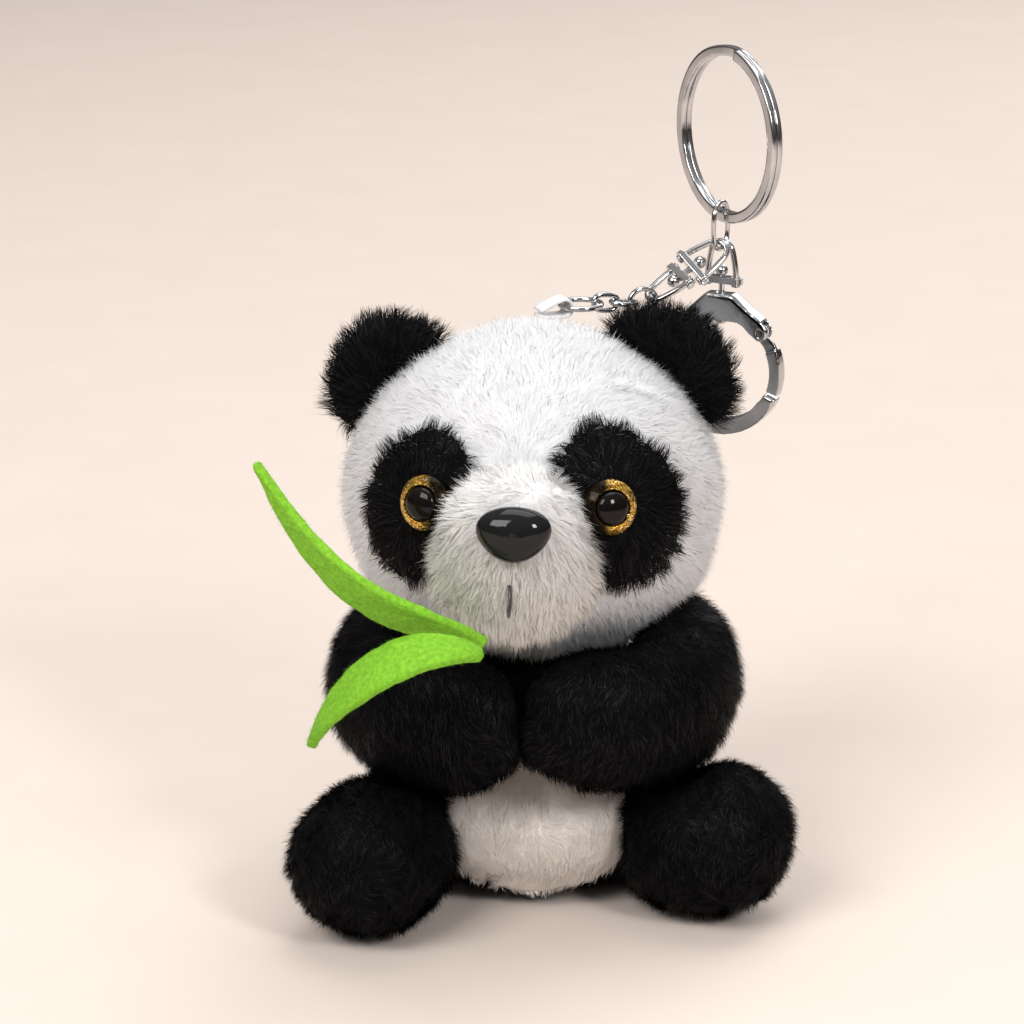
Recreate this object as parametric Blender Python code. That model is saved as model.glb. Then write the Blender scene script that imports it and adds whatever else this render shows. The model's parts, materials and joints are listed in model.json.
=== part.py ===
"""A plush panda keychain, as one named object for each piece that it is made of.

A sewn and stuffed panda sits on a flat seat and holds two felt leaves. A ribbon on its head
carries a jump ring, three chain links, a swivel and a connector link. The connector holds a
split key ring, which stands up, and a round lobster clasp, which hangs down behind an ear.

Metres, +Z up. The origin is the middle of the flat seat and the panda faces -Y, so -X is the
side where it holds the leaves.
"""

import math

import bmesh
import bpy
from mathutils import Matrix, Vector

MM = 0.001
GAP = 0.3 * MM  # what two touching pieces keep between them
CLEARANCE = 0.12 * MM  # round a pin that turns in its hole

# ---- Driving dimensions of the panda ----
HEAD_CENTRE = Vector((0, -3, 63.4)) * MM
HEAD_SEMI = Vector((29.6, 26.0, 26.0)) * MM
HEAD_TURN = math.radians(-5.5)  # the face looks a little towards -X
CHEEK_FULLNESS = 0.7  # below the eyes the head narrows more slowly than an ellipsoid
SKIN = 1.8 * MM  # plush backing with its pile pressed flat
NECK_Z = 40.5 * MM
TORSO_DEPTH = 0.86  # depth of the torso as a share of its width
TORSO_OUTLINE = [(0, 14.5), (1.5, 20.0), (5, 24.6), (10, 27.2), (15, 27.0),
                 (20, 24.0), (25, 19.6), (30, 16.6), (35, 15.2), (40.2, 14.6)]  # height, half width

MUZZLE_RADIUS = 12.4 * MM
MUZZLE_MIDDLE, MUZZLE_HALF_DEPTH = 3.3 * MM, 6.5 * MM  # over the face, of its widest ring
MUZZLE_UP = -2.0 * MM
MUZZLE_WRAP = math.radians(118)  # how far its section turns back to meet the face
EAR_THICKNESS = 7.0 * MM
PATCH_ACROSS, PATCH_LEAN = 16.6 * MM, math.radians(24)
EYES = (("left_viewer", -13.2 * MM), ("right_viewer", 13.6 * MM))  # side and distance across the face
EYE_UP, EYE_LIFT = 4.4 * MM, 1.7 * MM
EYE_RADIUS = 4.3 * MM
PUPIL_RADIUS = 2.85 * MM
POST_RADIUS = 1.1 * MM
WASHER_RADIUS, WASHER_THICKNESS = 3.3 * MM, 0.9 * MM
NOSE_ACROSS, NOSE_UP = 0.5 * MM, 2.6 * MM
NOSE_LIFT = MUZZLE_MIDDLE + MUZZLE_HALF_DEPTH - 0.1 * MM
NOSE_HALF_WIDTH, NOSE_HALF_HEIGHT = 5.6 * MM, 4.3 * MM
STITCH_RADIUS = 0.35 * MM
LEAF_THICKNESS, LEAF_WIDTH = 1.5 * MM, 9.2 * MM
RIBBON_HALF_WIDTH, RIBBON_THICKNESS = 1.7 * MM, 0.5 * MM

# ---- Driving dimensions of the hardware ----
JUMP_RING = (3.3 * MM, 0.45 * MM)  # radius to the wire's middle, wire radius
JUMP_CENTRE = Vector((7.4, 8.0, 89.9)) * MM
CHAIN_HEADING, CHAIN_DIP = math.radians(22), math.radians(6)
LINK_WIRE, LINK_BEND, LINK_STRAIGHT = 0.45 * MM, 1.3 * MM, 0.85 * MM
ROUND_LINK_BEND = 2.35 * MM
BAIL_WIRE = 0.5 * MM
BAIL_HEIGHT = 6.3 * MM  # from the wire's middle at the top to the bar's middle
BAIL_HALF_WIDTH = 2.5 * MM
BAIL_BEND = 1.9 * MM
BAR_THICKNESS, BAR_DEPTH = 1.1 * MM, 1.9 * MM
BAR_SPACING = 2.4 * MM  # between the middles of the swivel's two bars
RIVET_RADIUS, BEAD_RADIUS = 0.45 * MM, 1.05 * MM
SWIVEL_HEADING, SWIVEL_RISE = math.radians(20), math.radians(31)
UPPER_BAIL_ROLL = math.radians(-18)  # of the upper bail from square across the connector
CONNECTOR_WIRE, CONNECTOR_BEND, CONNECTOR_STRAIGHT = 0.45 * MM, 2.45 * MM, 1.4 * MM
RING_RADIUS = 13.15 * MM  # to the middle of the flat wire
RING_WIRE = (1.7 * MM, 0.85 * MM)  # across and along the ring's axis
RING_COIL_GAP = 0.12 * MM
RING_TURN = math.radians(-60.5)  # the split ring's plane, from facing the front
RING_NORMAL = Vector((math.sin(RING_TURN), -math.cos(RING_TURN), 0))
CONNECTOR_TURN = math.radians(60)  # the connector link's plane, from facing the front
ALONG_CONNECTOR = Vector((math.cos(CONNECTOR_TURN), math.sin(CONNECTOR_TURN), 0))
WIRE_APART = 0.7 * MM  # of the two wires side by side in the connector, from its middle
RING_LEAN = math.radians(9.5)  # how far from its lowest point the ring is held
CLASP_RADIUS = 9.6 * MM
CLASP_BAND = 2.2 * MM
CLASP_THICKNESS = 3.0 * MM
CLASP_TURN = math.radians(-25)
GATE_ANGLES = (-22, 43)  # degrees from the clasp's +X side: hook tip and gate pivot
GATE_SLOT_HALF = 0.95 * MM
PIN_RADIUS = 0.5 * MM

COLOURS = {
    "white_plush": ((0.86, 0.85, 0.84), 0.95, 0.0),
    "cream_plush": ((0.80, 0.77, 0.72), 0.95, 0.0),
    "black_plush": ((0.012, 0.012, 0.014), 0.9, 0.0),
    "fibre_filling": ((0.85, 0.85, 0.83), 1.0, 0.0),
    "green_felt": ((0.27, 0.72, 0.03), 0.95, 0.0),
    "white_ribbon": ((0.85, 0.85, 0.85), 0.6, 0.0),
    "gloss_black": ((0.01, 0.01, 0.01), 0.08, 0.0),
    "gold_glitter": ((0.75, 0.48, 0.08), 0.35, 0.6),
    "dark_thread": ((0.08, 0.07, 0.07), 0.8, 0.0),
    "clear_nylon": ((0.8, 0.8, 0.78), 0.4, 0.0),
    "chrome": ((0.75, 0.75, 0.77), 0.12, 1.0),
    "spring_steel": ((0.55, 0.55, 0.57), 0.3, 1.0),
}


def material(name):
    found = bpy.data.materials.get(name)
    if found:
        return found
    colour, roughness, metallic = COLOURS[name]
    made = bpy.data.materials.new(name)
    made.use_nodes = True
    shader = made.node_tree.nodes["Principled BSDF"]
    shader.inputs["Base Color"].default_value = (*colour, 1)
    shader.inputs["Roughness"].default_value = roughness
    shader.inputs["Metallic"].default_value = metallic
    made.diffuse_color = (*colour, 1)
    return made


# ---- Mesh helpers ----


def add_object(bm, name, material_name, place=None):
    """The mesh as an object. place is its matrix: the mesh is then in the object's own frame."""
    bmesh.ops.recalc_face_normals(bm, faces=bm.faces)
    mesh = bpy.data.meshes.new(name)
    bm.to_mesh(mesh)
    bm.free()
    mesh.shade_smooth()
    mesh.set_sharp_from_angle(angle=math.radians(40))
    mesh.materials.append(material(material_name))
    made = bpy.data.objects.new(name, mesh)
    if place is not None:
        made.matrix_world = place
    bpy.context.collection.objects.link(made)
    return made


def skin(rings, closed=False, caps=(True, True)):
    """A tube through rings of points, closed on itself or with flat ends."""
    bm = bmesh.new()
    loops = [[bm.verts.new(p) for p in ring] for ring in rings]
    count = len(loops[0])
    for a, b in zip(loops, loops[1:] + loops[:1] if closed else loops[1:]):
        for k in range(count):
            bm.faces.new((a[k], a[(k + 1) % count], b[(k + 1) % count], b[k]))
    if not closed:
        for loop, wanted in zip((loops[0], loops[-1]), caps):
            if wanted:
                bm.faces.new(loop)
    return bm


def tube(points, radii, sides=8, closed=False):
    """A round wire along points. radii is one radius, or one for each point."""
    count = len(points)
    radii = [radii] * count if isinstance(radii, float) else radii
    rings = []
    normal = None
    for k, point in enumerate(points):
        before = points[k - 1] if k or closed else point
        after = points[(k + 1) % count] if k + 1 < count or closed else point
        along = (after - before).normalized()
        if normal is None:
            normal = along.orthogonal().normalized()
            if closed:
                normal = plane_normal(points)
        normal = (normal - along * normal.dot(along)).normalized()
        other = along.cross(normal)
        turns = [2 * math.pi * s / sides for s in range(sides)]
        rings.append([point + (normal * math.cos(t) + other * math.sin(t)) * radii[k] for t in turns])
    return skin(rings, closed)


def plane_normal(points):
    centre = sum(points, Vector()) / len(points)
    return (points[0] - centre).cross(points[len(points) // 4] - centre).normalized()


def lens(top, bottom, rings=5, sides=20):
    """A closed pad between two surfaces. top and bottom give a point for (radius 0 to 1, angle)."""
    bm = bmesh.new()
    layers = []
    for surface in (top, bottom):
        centre = bm.verts.new(surface(0.0, 0.0))
        loops = []
        for r in range(1, rings + 1):
            angles = [2 * math.pi * s / sides for s in range(sides)]
            loops.append([bm.verts.new(surface(r / rings, a)) for a in angles])
        for k in range(sides):
            bm.faces.new((centre, loops[0][k], loops[0][(k + 1) % sides]))
        for a, b in zip(loops, loops[1:]):
            for k in range(sides):
                bm.faces.new((a[k], a[(k + 1) % sides], b[(k + 1) % sides], b[k]))
        layers.append(loops[-1])
    upper, lower = layers
    for k in range(sides):
        n = (k + 1) % sides
        bm.faces.new((upper[k], upper[n], lower[n], lower[k]))
    return bm


def cut(target, cutter):
    """Takes the cutter's shape out of the target and leaves the cutter as a hidden guide."""
    cutter.hide_render = True
    cutter.display_type = "WIRE"
    modifier = target.modifiers.new("cut_" + cutter.name, "BOOLEAN")
    modifier.operation = "DIFFERENCE"
    modifier.solver = "EXACT"
    modifier.object = cutter


def cylinder(radius, low, high, sides=12):
    """A round bar along local Z from low to high."""
    rings = []
    for z in (low, high):
        turns = [2 * math.pi * s / sides for s in range(sides)]
        rings.append([Vector((radius * math.cos(t), radius * math.sin(t), z)) for t in turns])
    return skin(rings)


def turned(profile, sides=12):
    """A closed solid turned round local Z from (radius, z) pairs. Its ends are flat."""
    rings = []
    for radius, z in profile:
        turns = [2 * math.pi * s / sides for s in range(sides)]
        rings.append([Vector((radius * math.cos(t), radius * math.sin(t), z)) for t in turns])
    return skin(rings)


def frame(origin, x_axis, z_axis):
    """A matrix with this origin, local X along x_axis and local Z as near z_axis as it can be."""
    x = x_axis.normalized()
    z = (z_axis - x * z_axis.dot(x)).normalized()
    y = z.cross(x)
    made = Matrix((x, y, z)).transposed().to_4x4()
    made.translation = origin
    return made


def heading(turn, rise):
    """A direction that is turned from +X towards +Y and raised towards +Z."""
    return Vector((math.cos(turn) * math.cos(rise), math.sin(turn) * math.cos(rise), math.sin(rise)))


# ---- The panda's own surfaces ----


def head_point(turn, rise, offset=0.0):
    """A point over the head's surface: turn from the front towards +X, and rise towards the top."""
    flat = math.cos(rise) ** (CHEEK_FULLNESS if rise < 0 else 1.0)
    unit = Vector((math.sin(turn) * flat, -math.cos(turn) * flat, math.sin(rise)))
    semi = HEAD_SEMI
    normal = Vector((unit.x / semi.x, unit.y / semi.y, unit.z / semi.z)).normalized()
    return HEAD_CENTRE + Vector((unit.x * semi.x, unit.y * semi.y, unit.z * semi.z)) + normal * offset


def face_point(across, up, offset=0.0):
    """A point over the face from distances along its surface, with the head's turn."""
    return head_point(across / HEAD_SEMI.x + HEAD_TURN, up / HEAD_SEMI.z, offset)


def torso_radius(z):
    heights = [h * MM for h, _ in TORSO_OUTLINE]
    widths = [w * MM for _, w in TORSO_OUTLINE]
    if z <= heights[0]:
        return widths[0]
    for (h0, w0), (h1, w1) in zip(zip(heights, widths), zip(heights[1:], widths[1:])):
        if z <= h1:
            return w0 + (w1 - w0) * (z - h0) / (h1 - h0)
    return widths[-1]


def torso_point(turn, z, offset=0.0):
    radius = torso_radius(z) + offset
    return Vector((math.sin(turn) * radius, -math.cos(turn) * radius * TORSO_DEPTH, z))


def head_ball(offset, segments=26, rows=14, cut_below=None, close_cut=False):
    bm = bmesh.new()
    bmesh.ops.create_uvsphere(bm, u_segments=segments, v_segments=rows, radius=1.0)
    for vertex in bm.verts:
        p = vertex.co.copy()
        rise = math.asin(max(-1.0, min(1.0, p.z)))
        vertex.co = head_point(math.atan2(p.x, -p.y), rise, offset)
    if cut_below is not None:
        everything = bm.verts[:] + bm.edges[:] + bm.faces[:]
        level = Vector((0, 0, cut_below))
        bmesh.ops.bisect_plane(bm, geom=everything, plane_co=level, plane_no=(0, 0, 1), clear_inner=True)
        if close_cut:
            rim = [e for e in bm.edges if e.is_boundary]
            bmesh.ops.holes_fill(bm, edges=rim, sides=0)
    return bm


def torso_rings(offset, low, high, segments=26):
    levels = [h * MM for h, _ in TORSO_OUTLINE if low < h * MM < high]
    rings = []
    for z in [low, *levels, high]:
        turns = [2 * math.pi * s / segments for s in range(segments)]
        rings.append([torso_point(t, z, offset) for t in turns])
    return rings


def make_head():
    shell = add_object(head_ball(0.0, cut_below=NECK_Z + GAP), "head_skin", "white_plush")
    thick = shell.modifiers.new("backing", "SOLIDIFY")
    thick.thickness = SKIN
    thick.offset = -1
    filling = head_ball(-SKIN - 0.8 * MM, 20, 10, cut_below=NECK_Z + 1.5 * MM, close_cut=True)
    add_object(filling, "head_filling", "fibre_filling")


def make_torso():
    top = TORSO_OUTLINE[-1][0] * MM
    shell = add_object(skin(torso_rings(0.0, 0.0, top), caps=(True, False)), "body_skin", "black_plush")
    thick = shell.modifiers.new("backing", "SOLIDIFY")
    thick.thickness = SKIN
    thick.offset = -1
    rings = []
    for z in (3.0 * MM, 6.0 * MM, 11.0 * MM, 17.0 * MM, 23.0 * MM, 30.0 * MM, top - 1.5 * MM):
        radius = min(torso_radius(z + 2.5 * MM), torso_radius(z - 2.5 * MM)) - SKIN - 1.2 * MM
        turns = [2 * math.pi * s / 16 for s in range(16)]
        deep = radius * TORSO_DEPTH
        rings.append([Vector((math.sin(t) * radius, -math.cos(t) * deep, z)) for t in turns])
    add_object(skin(rings), "body_filling", "fibre_filling")


def make_belly():
    middle, half_height, half_turn = 15.0 * MM, 12.5 * MM, math.radians(38)

    def layer(offset, rounding):
        def point(r, angle):
            turn = half_turn * r * math.cos(angle)
            z = middle + half_height * r * math.sin(angle)
            return torso_point(turn, z, offset + rounding * math.sqrt(max(0.0, 1 - r * r)))

        return point

    pad = lens(layer(1.2 * MM, 0.7 * MM), layer(-1.0 * MM, 0.0), 4, 18)
    belly = add_object(pad, "belly_panel", "cream_plush")
    cut(belly, add_object(skin(torso_rings(GAP, -1 * MM, 40 * MM)), "belly_back_guide", "cream_plush"))


# ---- Limbs ----


def loft(stations, sides=16):
    """A solid through ellipses. A station is (centre, side vector, up vector), scaled."""
    rings = []
    for centre, side, up in stations:
        turns = [2 * math.pi * s / sides for s in range(sides)]
        rings.append([centre + side * math.cos(t) + up * math.sin(t) for t in turns])
    return skin(rings)


def on_floor(bm):
    """Presses whatever is under the seat level flat against it."""
    for vertex in bm.verts:
        vertex.co.z = max(vertex.co.z, 0.0)
    bmesh.ops.remove_doubles(bm, verts=bm.verts, dist=0.00001)
    return bm


def bezier(points, t):
    while len(points) > 1:
        points = [a.lerp(b, t) for a, b in zip(points, points[1:])]
    return points[0]


def make_leg(name, toe, hip, radius):
    """A stuffed leg that lies on the floor, with a round foot at the toe end."""
    along = (toe - hip).normalized()
    side = Vector((along.y, -along.x, 0))
    up = Vector((0, 0, 1))
    length = (toe - hip).length
    stations = []
    for s, share in ((-0.5, 0.6), (-0.25, 0.72), (0.1, 0.82), (0.45, 0.94), (0.75, 1.0), (1.0, 1.0)):
        stations.append((hip + along * s * length, share))
    for angle in (25, 45, 62, 76):
        a = math.radians(angle)
        stations.append((toe + along * radius * math.sin(a), math.cos(a)))
    placed = [(c, side * radius * share, up * radius * share) for c, share in stations]
    leg = add_object(on_floor(loft(placed, 16)), name, "black_plush")
    bulge = add_object(skin(torso_rings(2.2 * MM, -1 * MM, 40 * MM)), name + "_seat_guide", "black_plush")
    cut(leg, bulge)


def arm_shape(route, thickness, heights):
    """An arm along the route: domed at the shoulder and blunt at the paw, where it meets the other."""
    stations = []
    steps = 9
    for k in range(steps + 1):
        t = k / steps
        centre = bezier(route, t)
        along = (bezier(route, min(1.0, t + 0.02)) - bezier(route, max(0.0, t - 0.02))).normalized()
        side = along.cross(Vector((0, 0, 1))).normalized()
        up = side.cross(along).normalized()
        from_middle = abs(2 * t - 1)
        share = math.sqrt(1 - (0.9 * from_middle ** 6 if t < 0.5 else 0.5 * from_middle ** 14))
        tall = heights[0] + (heights[1] - heights[0]) * t
        stations.append((centre, side * thickness * share, up * tall * share))
    return loft(stations, 16)


def make_arm(side, route, thickness, heights):
    """A stuffed arm that wraps from the shoulder to the paw in front of the chest.
    It presses a dent into the top of the leg below it."""
    arm = add_object(arm_shape(route, thickness, heights), "arm_" + side, "black_plush")
    for guide in (skin(torso_rings(GAP, -1 * MM, 43 * MM)), head_ball(GAP, 26, 14)):
        cut(arm, add_object(guide, "arm_guide_" + side, "black_plush"))
    wider = arm_shape(route, thickness + 2 * GAP, (heights[0] + 2 * GAP, heights[1] + 2 * GAP))
    cut(bpy.data.objects["leg_" + side], add_object(wider, "arm_dent_guide_" + side, "black_plush"))


def make_limbs():
    for side, toe, hip, radius in (
        ("left_viewer", (-25.4, -30.5, 12.4), (-19.5, -14.0, 11.2), 12.7),
        ("right_viewer", (27.6, -22.0, 12.8), (16.0, -9.0, 11.6), 13.3),
    ):
        make_leg("leg_" + side, Vector(toe) * MM, Vector(hip) * MM, radius * MM)
    for side, sign, paw_x, paw_z, shoulder in (
        ("left_viewer", -1, -2.1, 34.4, 12.6),
        ("right_viewer", 1, -0.5, 35.0, 14.0),
    ):
        route = [
            Vector((sign * 20.0, 5.0, 33.0)) * MM,
            Vector((sign * 31.0, -10.0, 36.0)) * MM,
            Vector((sign * 24.0, -32.0, 33.5)) * MM,
            Vector((paw_x, -29.5, paw_z)) * MM,
        ]
        make_arm(side, route, 7.6 * MM, (shoulder * MM, 11.3 * MM))


# ---- Face ----


def muzzle_reach(angle):
    """The muzzle's radius: it draws in beside each eye."""
    beside_eye = 0.0
    for eye_angle in (25, 155):
        off = (math.degrees(angle) - eye_angle + 180) % 360 - 180
        beside_eye += math.exp(-((off / 26) ** 2))
    return MUZZLE_RADIUS - 2.5 * MM * beside_eye


def muzzle_point(r, angle, offset=0.0):
    """A point over the muzzle: r is 0 at its front and 1 where it meets the face."""
    tilt = MUZZLE_WRAP * r
    reach = (muzzle_reach(angle) + offset) * math.sin(tilt)
    rise = MUZZLE_MIDDLE + (MUZZLE_HALF_DEPTH + offset) * math.cos(tilt)
    return face_point(reach * math.cos(angle), MUZZLE_UP + reach * math.sin(angle), rise)


def make_muzzle():
    def base(r, angle):
        reach = muzzle_reach(angle) * math.sin(MUZZLE_WRAP) * r
        return face_point(reach * math.cos(angle), MUZZLE_UP + reach * math.sin(angle), GAP - 0.1 * MM)

    return add_object(lens(muzzle_point, base, 6, 22), "muzzle", "white_plush")


def outside_muzzle(across, up):
    """Moves a point of the face off the muzzle's base."""
    off = Vector((across, up - MUZZLE_UP))
    reach = muzzle_reach(math.atan2(off.y, off.x)) * 0.9 + 0.7 * MM
    if off.length < reach:
        off = off.normalized() * reach
    return off.x, off.y + MUZZLE_UP


def make_eye_patch(name, sign, middle_up, half_width, half_height):
    """A patch of black plush round one eye, leaning out at its lower end."""
    centre = (sign * PATCH_ACROSS, middle_up)
    lean = PATCH_LEAN * sign

    def place(r, angle):
        a, b = half_width * math.cos(angle), half_height * math.sin(angle)
        across = centre[0] + a * math.cos(lean) - b * math.sin(lean)
        up = centre[1] + a * math.sin(lean) + b * math.cos(lean)
        across, up = outside_muzzle(across, up)
        return centre[0] + (across - centre[0]) * r, centre[1] + (up - centre[1]) * r

    def top(r, angle):
        return face_point(*place(r, angle), GAP + 0.3 * MM + 0.8 * MM * math.sqrt(max(0.0, 1 - r * r)))

    def bottom(r, angle):
        return face_point(*place(r, angle), GAP)

    return add_object(lens(top, bottom, 3, 18), name, "black_plush")


def make_ear(name, sign, radius, rise):
    """A flat round pad that stands on the head, cut to the head's curve."""
    outward = Vector((sign * math.cos(rise), 0, math.sin(rise)))
    centre = HEAD_CENTRE + Vector((outward.x * 27.6, 2.0, outward.z * 24.4)) * MM
    turn = Matrix.Rotation(HEAD_TURN - sign * math.radians(8), 3, "Z")
    across = turn @ Vector((1, 0, 0))
    facing = turn @ Vector((0, -1, 0))

    def layer(depth_sign):
        def point(r, angle):
            flat = across * math.cos(angle) + Vector((0, 0, 1)) * math.sin(angle)
            bulge = EAR_THICKNESS / 2 * math.sqrt(max(0.0, 1 - (r * 0.93) ** 2))
            return centre + flat * radius * r + facing * depth_sign * bulge

        return point

    ear = add_object(lens(layer(1), layer(-1), 3, 20), name, "black_plush")
    cut(ear, add_object(head_ball(GAP, 26, 14), name + "_guide", "white_plush"))


def face_frame(across, up, offset):
    """A frame on the face with local Z along its outward normal and local Y up."""
    here = face_point(across, up, offset)
    out = (face_point(across, up, offset + MM) - here).normalized()
    return frame(here, Vector((0, 0, 1)).cross(out), out)


def make_eyes():
    """Each eye is a black dome on a post, with a glitter ring round it and a washer inside the head."""
    for side, across in EYES:
        place = face_frame(across, EYE_UP, EYE_LIFT)
        inner = PUPIL_RADIUS + 0.15 * MM
        rim = [(inner, 0.35 * MM), (EYE_RADIUS, 0.35 * MM), (EYE_RADIUS, 1.1 * MM),
               (EYE_RADIUS - 0.6 * MM, 1.9 * MM), (inner, 2.4 * MM)]
        add_object(ring_solid(rim, 20), "glitter_ring_" + side, "gold_glitter", place)
        dome = [(PUPIL_RADIUS, 0.35 * MM), (PUPIL_RADIUS, 2.2 * MM), (0.88 * PUPIL_RADIUS, 2.9 * MM),
                (0.45 * PUPIL_RADIUS, 3.35 * MM), (0.1 * PUPIL_RADIUS, 3.45 * MM)]
        post = [(0.8 * MM, -6.5 * MM), (POST_RADIUS, -6.0 * MM), (POST_RADIUS, 0.0)]
        flange = EYE_RADIUS - 0.4 * MM
        foot = [(flange, 0.0), (flange, 0.2 * MM), (PUPIL_RADIUS, 0.2 * MM)]
        add_object(turned(post + foot + dome, 16), "eye_" + side, "gloss_black", place)
        make_washer("eye_washer_" + side, place, -EYE_LIFT - SKIN - 0.85 * MM)
        for target in ("head_skin", "eye_patch_" + side):
            drill = cylinder(POST_RADIUS + GAP, -5 * MM, 4 * MM, 8)
            cut(bpy.data.objects[target], add_object(drill, "eye_hole_guide", "clear_nylon", place))
        pocket = cylinder(WASHER_RADIUS + GAP, -8 * MM, 0.0, 10)
        cut(bpy.data.objects["head_filling"], add_object(pocket, "eye_pocket_guide", "clear_nylon", place))


def ring_solid(profile, sides):
    """A closed ring turned round local Z from a closed outline of (radius, z) pairs."""
    rings = []
    for s in range(sides):
        turn = 2 * math.pi * s / sides
        rings.append([Vector((r * math.cos(turn), r * math.sin(turn), z)) for r, z in profile])
    return skin(rings, closed=True)


def make_washer(name, place, top):
    inner = POST_RADIUS + CLEARANCE
    low = top - WASHER_THICKNESS
    outline = [(inner, top), (WASHER_RADIUS, top), (WASHER_RADIUS, low), (inner, low)]
    add_object(ring_solid(outline, 12), name, "clear_nylon", place)


def make_nose():
    """A rounded triangle, wide at the top, on a post that goes through the muzzle."""
    place = face_frame(NOSE_ACROSS, NOSE_UP, NOSE_LIFT)
    sides = 20
    turns = [2 * math.pi * s / sides for s in range(sides)]
    rings = []
    for z in (-13.0 * MM, 0.0):
        rings.append([Vector((POST_RADIUS * math.cos(a), POST_RADIUS * math.sin(a), z)) for a in turns])
    for z, share in ((0.0, 0.9), (0.7, 1.0), (1.8, 0.98), (2.9, 0.84), (3.7, 0.58), (4.1, 0.22)):
        ring = []
        for a in turns:
            taper = 1 + 0.22 * math.sin(a)
            x = NOSE_HALF_WIDTH * taper * math.cos(a) * share
            y = NOSE_HALF_HEIGHT * math.sin(a) * share
            ring.append(Vector((x, y, z * MM)))
        rings.append(ring)
    add_object(skin(rings), "nose", "gloss_black", place)
    make_washer("nose_washer", place, -NOSE_LIFT - SKIN - 0.9 * MM)
    for target in ("head_skin", "muzzle"):
        drill = cylinder(POST_RADIUS + GAP, -16 * MM, 3 * MM, 8)
        cut(bpy.data.objects[target], add_object(drill, "nose_hole_guide", "clear_nylon", place))
    pocket = cylinder(WASHER_RADIUS + GAP, -17 * MM, -6 * MM, 10)
    cut(bpy.data.objects["head_filling"], add_object(pocket, "nose_pocket_guide", "clear_nylon", place))


def make_mouth():
    """The stitched line under the nose."""
    points = []
    for k in range(6):
        wander = math.radians(2 * math.sin(k))
        points.append(muzzle_point(0.035 + 0.032 * k, math.radians(-90) + wander, 0.75 * MM))
    add_object(tube(points, STITCH_RADIUS, 6), "mouth_stitch", "dark_thread")


# ---- Leaves ----


def make_leaf(name, route, width, face, base):
    """A pointed felt leaf along a bent middle line. face is the way its flat side looks, and base
    says how far along the full outline the sewn end is cut off."""
    steps = 12
    rings = []
    for k in range(steps + 1):
        t = k / steps
        middle = bezier(route, t)
        along = (bezier(route, min(1.0, t + 0.02)) - bezier(route, max(0.0, t - 0.02))).normalized()
        out = (face - along * face.dot(along)).normalized()
        across = along.cross(out)
        half = width / 2 * max(0.05, math.sin(math.pi * (base + (1 - base) * t)) ** 0.8)
        up, lift = across * half, out * LEAF_THICKNESS / 2
        rings.append([middle - up - lift, middle - lift, middle + up - lift,
                      middle + up + lift, middle + lift, middle - up + lift])
    add_object(skin(rings), name, "green_felt")


def make_leaves():
    upper = [Vector((-7.7, -40.6, 50.5)), Vector((-19.8, -43.1, 56.8)), Vector((-28.5, -42.9, 55.1)),
             Vector((-40.7, -35.0, 76.7))]
    lower = [Vector((-7.7, -47.0, 51.2)), Vector((-16.9, -51.6, 56.8)), Vector((-30.4, -48.8, 46.2)),
             Vector((-32.9, -42.5, 35.3))]
    make_leaf("leaf_upper", [p * MM for p in upper], LEAF_WIDTH, Vector((-0.3, -0.75, -0.75)), 0.13)
    make_leaf("leaf_lower", [p * MM for p in lower], 0.9 * LEAF_WIDTH, Vector((-0.2, -0.45, 0.9)), 0.06)


# ---- Hardware ----


def stadium(bend, straight, corner_steps=5):
    """A closed racetrack line in local XY that is centred on the origin, longer along X."""
    points = []
    for centre, first in ((straight, -90), (-straight, 90)):
        for k in range(corner_steps + 1):
            a = math.radians(first + 180 * k / corner_steps)
            points.append(Vector((centre + bend * math.cos(a), bend * math.sin(a), 0)))
    return points


def hook_up(wire, held_wire):
    """How far a loop's own wire lies beyond the middle of the wire that it hangs on."""
    return wire + held_wire + GAP


def loop_link(name, place, wire, bend, straight, held_wire, sides=6, corner_steps=5):
    """A link whose loop goes round a wire at the local origin and runs on along local X."""
    back = hook_up(wire, held_wire)
    shift = Vector((bend + straight - back, 0, 0))
    if straight:
        line = stadium(bend, straight, corner_steps)
    else:
        turns = [2 * math.pi * k / (4 * corner_steps) for k in range(4 * corner_steps)]
        line = [Vector((bend * math.cos(t), bend * math.sin(t), 0)) for t in turns]
    add_object(tube([p + shift for p in line], wire, sides, closed=True), name, "chrome", place)
    return 2 * (bend + straight) - back


def carry(name, at, pieces):
    """Hangs pieces on an empty that sits on the axis they all turn about."""
    empty = bpy.data.objects.new(name, None)
    empty.location = at
    empty.empty_display_size = 2 * MM
    bpy.context.collection.objects.link(empty)
    for piece in pieces:
        bpy.data.objects[piece].parent = empty
        bpy.data.objects[piece].matrix_parent_inverse = Matrix.Translation(-at)


def bail_wire(name, place):
    """A bent wire in local XZ: round at the top, where the local origin is, with its two ends
    through the bar below, each spread into a small head."""
    foot = -BAIL_HEIGHT
    points = []
    radii = []
    for k in range(7):
        a = math.radians(8 + 164 * k / 6)
        points.append(Vector((BAIL_BEND * math.cos(a), 0, BAIL_BEND * (math.sin(a) - 1))))
        radii.append(BAIL_WIRE)
    face = BAR_THICKNESS / 2
    head = ((0.0, BAIL_WIRE), (face + 0.1 * MM, BAIL_WIRE), (face + 0.12 * MM, 0.85 * MM),
            (face + 0.35 * MM, 0.8 * MM), (face + 0.5 * MM, 0.4 * MM))
    knee = Vector((BAIL_HALF_WIDTH, 0, foot + 1.6 * MM))
    for sign in (1, -1):
        end = [Vector((sign * knee.x, 0, knee.z))]
        width = [BAIL_WIRE]
        for down, radius in head:
            end.append(Vector((sign * knee.x, 0, foot - down)))
            width.append(radius)
        if sign > 0:
            points = end[::-1] + points
            radii = width[::-1] + radii
        else:
            points = points + end
            radii = radii + width
    add_object(tube(points, radii, 8), name, "chrome", place)


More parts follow.
